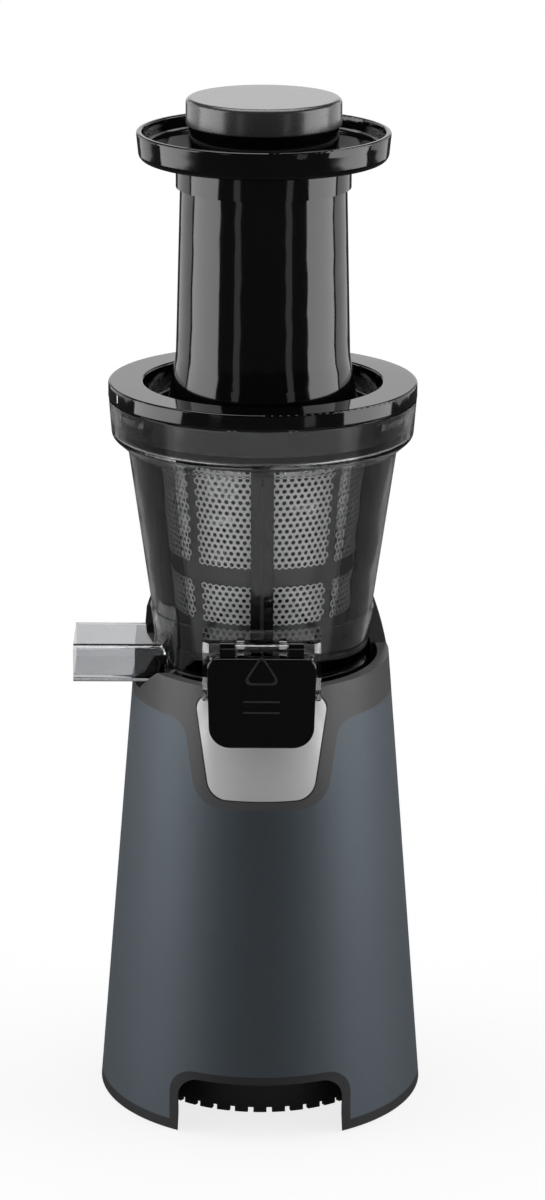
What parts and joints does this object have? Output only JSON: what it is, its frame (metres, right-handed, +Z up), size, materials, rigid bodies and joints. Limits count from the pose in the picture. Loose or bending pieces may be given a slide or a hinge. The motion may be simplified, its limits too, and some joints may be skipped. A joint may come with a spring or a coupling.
{
  "type": "cold press juicer",
  "caption": "Upright slow juicer: oval motor base, smoked conical juicing bowl with side spout and front pulp flap, locking lid with feed tube, tray and pusher.",
  "frame": {"origin": "on the drive axis, in the plane that the feet rest on", "axes": "+Z up along the drive axis, -Y towards the front with the pulp flap, -X towards the juice spout"},
  "size_m": [0.1662, 0.1751, 0.4807],
  "materials": {
    "painted_shell": "satin metallic paint, dark blue-grey",
    "black_satin": "satin moulded plastic",
    "black_gloss": "polished moulded plastic",
    "grey_satin": "satin moulded plastic",
    "brushed_steel": "brushed",
    "steel": "turned",
    "smoked_clear": "smoked transparent plastic",
    "clear": "clear transparent plastic",
    "rubber": "soft",
    "silicone": "matt silicone",
    "nylon": "natural nylon",
    "bronze": "sintered",
    "copper": "enamelled wire",
    "carbon": "pressed carbon",
    "ferrite": "ground",
    "alloy": "die cast",
    "board": "fibreglass board"
  },
  "bodies": {
    "base": {"base_shell": "painted_shell", "trim_skirt": "black_satin", "rubber_feet": "rubber", "base_plate": "black_satin", "base_screws": "steel", "collar": "grey_satin", "steel_panel": "brushed_steel", "rear_shroud": "black_satin", "deck": "black_satin", "shaft_seal": "silicone", "gear_screws": "steel", "gearbox_lid": "alloy", "output_bushes": "bronze", "gearbox_housing": "alloy", "ring_gear": "nylon", "motor_can": "steel", "motor_magnets": "ferrite", "motor_end_cap": "black_satin", "carbon_brushes": "carbon", "motor_bearings": "bronze", "control_board": "board", "switch_bezel": "black_satin", "cord_gland": "rubber"},
    "rotor": {"motor_shaft": "steel", "armature_core": "steel", "armature_winding": "copper", "commutator": "copper", "cooling_fan": "nylon", "sun_pinion": "steel"},
    "carrier_one": {"first_carrier": "steel"},
    "carrier_two": {"second_carrier": "steel", "output_shaft": "steel"},
    "rocker": {"rocker_switch": "black_gloss"},
    "bowl": {"juice_bowl": "smoked_clear", "bowl_foot": "black_gloss", "bowl_packing": "silicone", "juice_spout": "clear", "strainer_frame": "grey_satin", "strainer_mesh": "brushed_steel", "idler_pin": "steel", "cover_pin": "steel"},
    "idler": {"idler_gear": "nylon"},
    "cage": {"brush_cage": "black_gloss", "brush_wipers": "silicone"},
    "auger": {"auger_screw": "black_satin", "auger_socket": "steel"},
    "flap": {"pulp_cover": "black_gloss", "cover_seal": "silicone"},
    "lid": {"lid": "black_gloss", "lid_gasket": "silicone", "lid_bush": "bronze", "hopper_tray": "black_gloss"},
    "pusher": {"pusher": "black_gloss", "pusher_cap": "black_satin"},
    "planet_one_1": {"first_planet_1": "nylon"},
    "planet_two_1": {"second_planet_1": "nylon"},
    "planet_one_2": {"first_planet_2": "nylon"},
    "planet_two_2": {"second_planet_2": "nylon"},
    "planet_one_3": {"first_planet_3": "nylon"},
    "planet_two_3": {"second_planet_3": "nylon"}
  },
  "joints": [
    {"name": "motor_spin", "type": "hinge", "parent": "base", "child": "rotor", "pos_m": [0, 0, 0.1], "axis": [0, 0, 1], "continuous": true},
    {"name": "first_carrier_spin", "type": "hinge", "parent": "base", "child": "carrier_one", "pos_m": [0, 0, 0.14], "axis": [0, 0, 1], "continuous": true},
    {"name": "drive_spin", "type": "hinge", "parent": "base", "child": "carrier_two", "pos_m": [0, 0, 0.16], "axis": [0, 0, 1], "continuous": true},
    {"name": "planet_one_1_spin", "type": "hinge", "parent": "carrier_one", "child": "planet_one_1", "pos_m": [0.018, 0, 0.14], "axis": [0, 0, 1], "continuous": true},
    {"name": "planet_two_1_spin", "type": "hinge", "parent": "carrier_two", "child": "planet_two_1", "pos_m": [0.018, 0, 0.15], "axis": [0, 0, 1], "continuous": true},
    {"name": "planet_one_2_spin", "type": "hinge", "parent": "carrier_one", "child": "planet_one_2", "pos_m": [-0.009, 0.01559, 0.14], "axis": [0, 0, 1], "continuous": true},
    {"name": "planet_two_2_spin", "type": "hinge", "parent": "carrier_two", "child": "planet_two_2", "pos_m": [-0.009, 0.01559, 0.15], "axis": [0, 0, 1], "continuous": true},
    {"name": "planet_one_3_spin", "type": "hinge", "parent": "carrier_one", "child": "planet_one_3", "pos_m": [-0.009, -0.01559, 0.14], "axis": [0, 0, 1], "continuous": true},
    {"name": "planet_two_3_spin", "type": "hinge", "parent": "carrier_two", "child": "planet_two_3", "pos_m": [-0.009, -0.01559, 0.15], "axis": [0, 0, 1], "continuous": true},
    {"name": "bowl_lift", "type": "slide", "parent": "base", "child": "bowl", "axis": [0, 0, 1], "range_m": [0, 0.09]},
    {"name": "auger_spin", "type": "hinge", "parent": "bowl", "child": "auger", "pos_m": [0, 0, 0.21], "axis": [0, 0, 1], "continuous": true},
    {"name": "idler_spin", "type": "hinge", "parent": "bowl", "child": "idler", "pos_m": [0, 0.0255, 0.21], "axis": [0, 0, 1], "continuous": true},
    {"name": "cage_spin", "type": "hinge", "parent": "bowl", "child": "cage", "pos_m": [0, 0, 0.21], "axis": [0, 0, 1], "continuous": true},
    {"name": "flap_hinge", "type": "hinge", "parent": "bowl", "child": "flap", "pos_m": [0, -0.079, 0.239], "axis": [-1, 0, 0], "range_deg": [0, 100]},
    {"name": "lid_twist", "type": "hinge", "parent": "bowl", "child": "lid", "pos_m": [0, 0, 0.34], "axis": [0, 0, 1], "range_deg": [0, 35]},
    {"name": "pusher_lift", "type": "slide", "parent": "lid", "child": "pusher", "axis": [0, 0, 1], "range_m": [0, 0.12]},
    {"name": "rocker_tilt", "type": "hinge", "parent": "base", "child": "rocker", "pos_m": [0, 0.0773, 0.07], "axis": [1, 0, 0], "range_deg": [-12, 12]}
  ],
  "couplings": [
    {"joint": "first_carrier_spin", "follows": "motor_spin", "ratio": 0.16667},
    {"joint": "drive_spin", "follows": "motor_spin", "ratio": 0.027778},
    {"joint": "planet_one_1_spin", "follows": "motor_spin", "ratio": -0.41667},
    {"joint": "planet_two_1_spin", "follows": "motor_spin", "ratio": -0.069444},
    {"joint": "planet_one_2_spin", "follows": "motor_spin", "ratio": -0.41667},
    {"joint": "planet_two_2_spin", "follows": "motor_spin", "ratio": -0.069444},
    {"joint": "planet_one_3_spin", "follows": "motor_spin", "ratio": -0.41667},
    {"joint": "planet_two_3_spin", "follows": "motor_spin", "ratio": -0.069444},
    {"joint": "auger_spin", "follows": "motor_spin", "ratio": 0.027778},
    {"joint": "idler_spin", "follows": "motor_spin", "ratio": -0.039683},
    {"joint": "cage_spin", "follows": "motor_spin", "ratio": -0.011574}
  ]
}
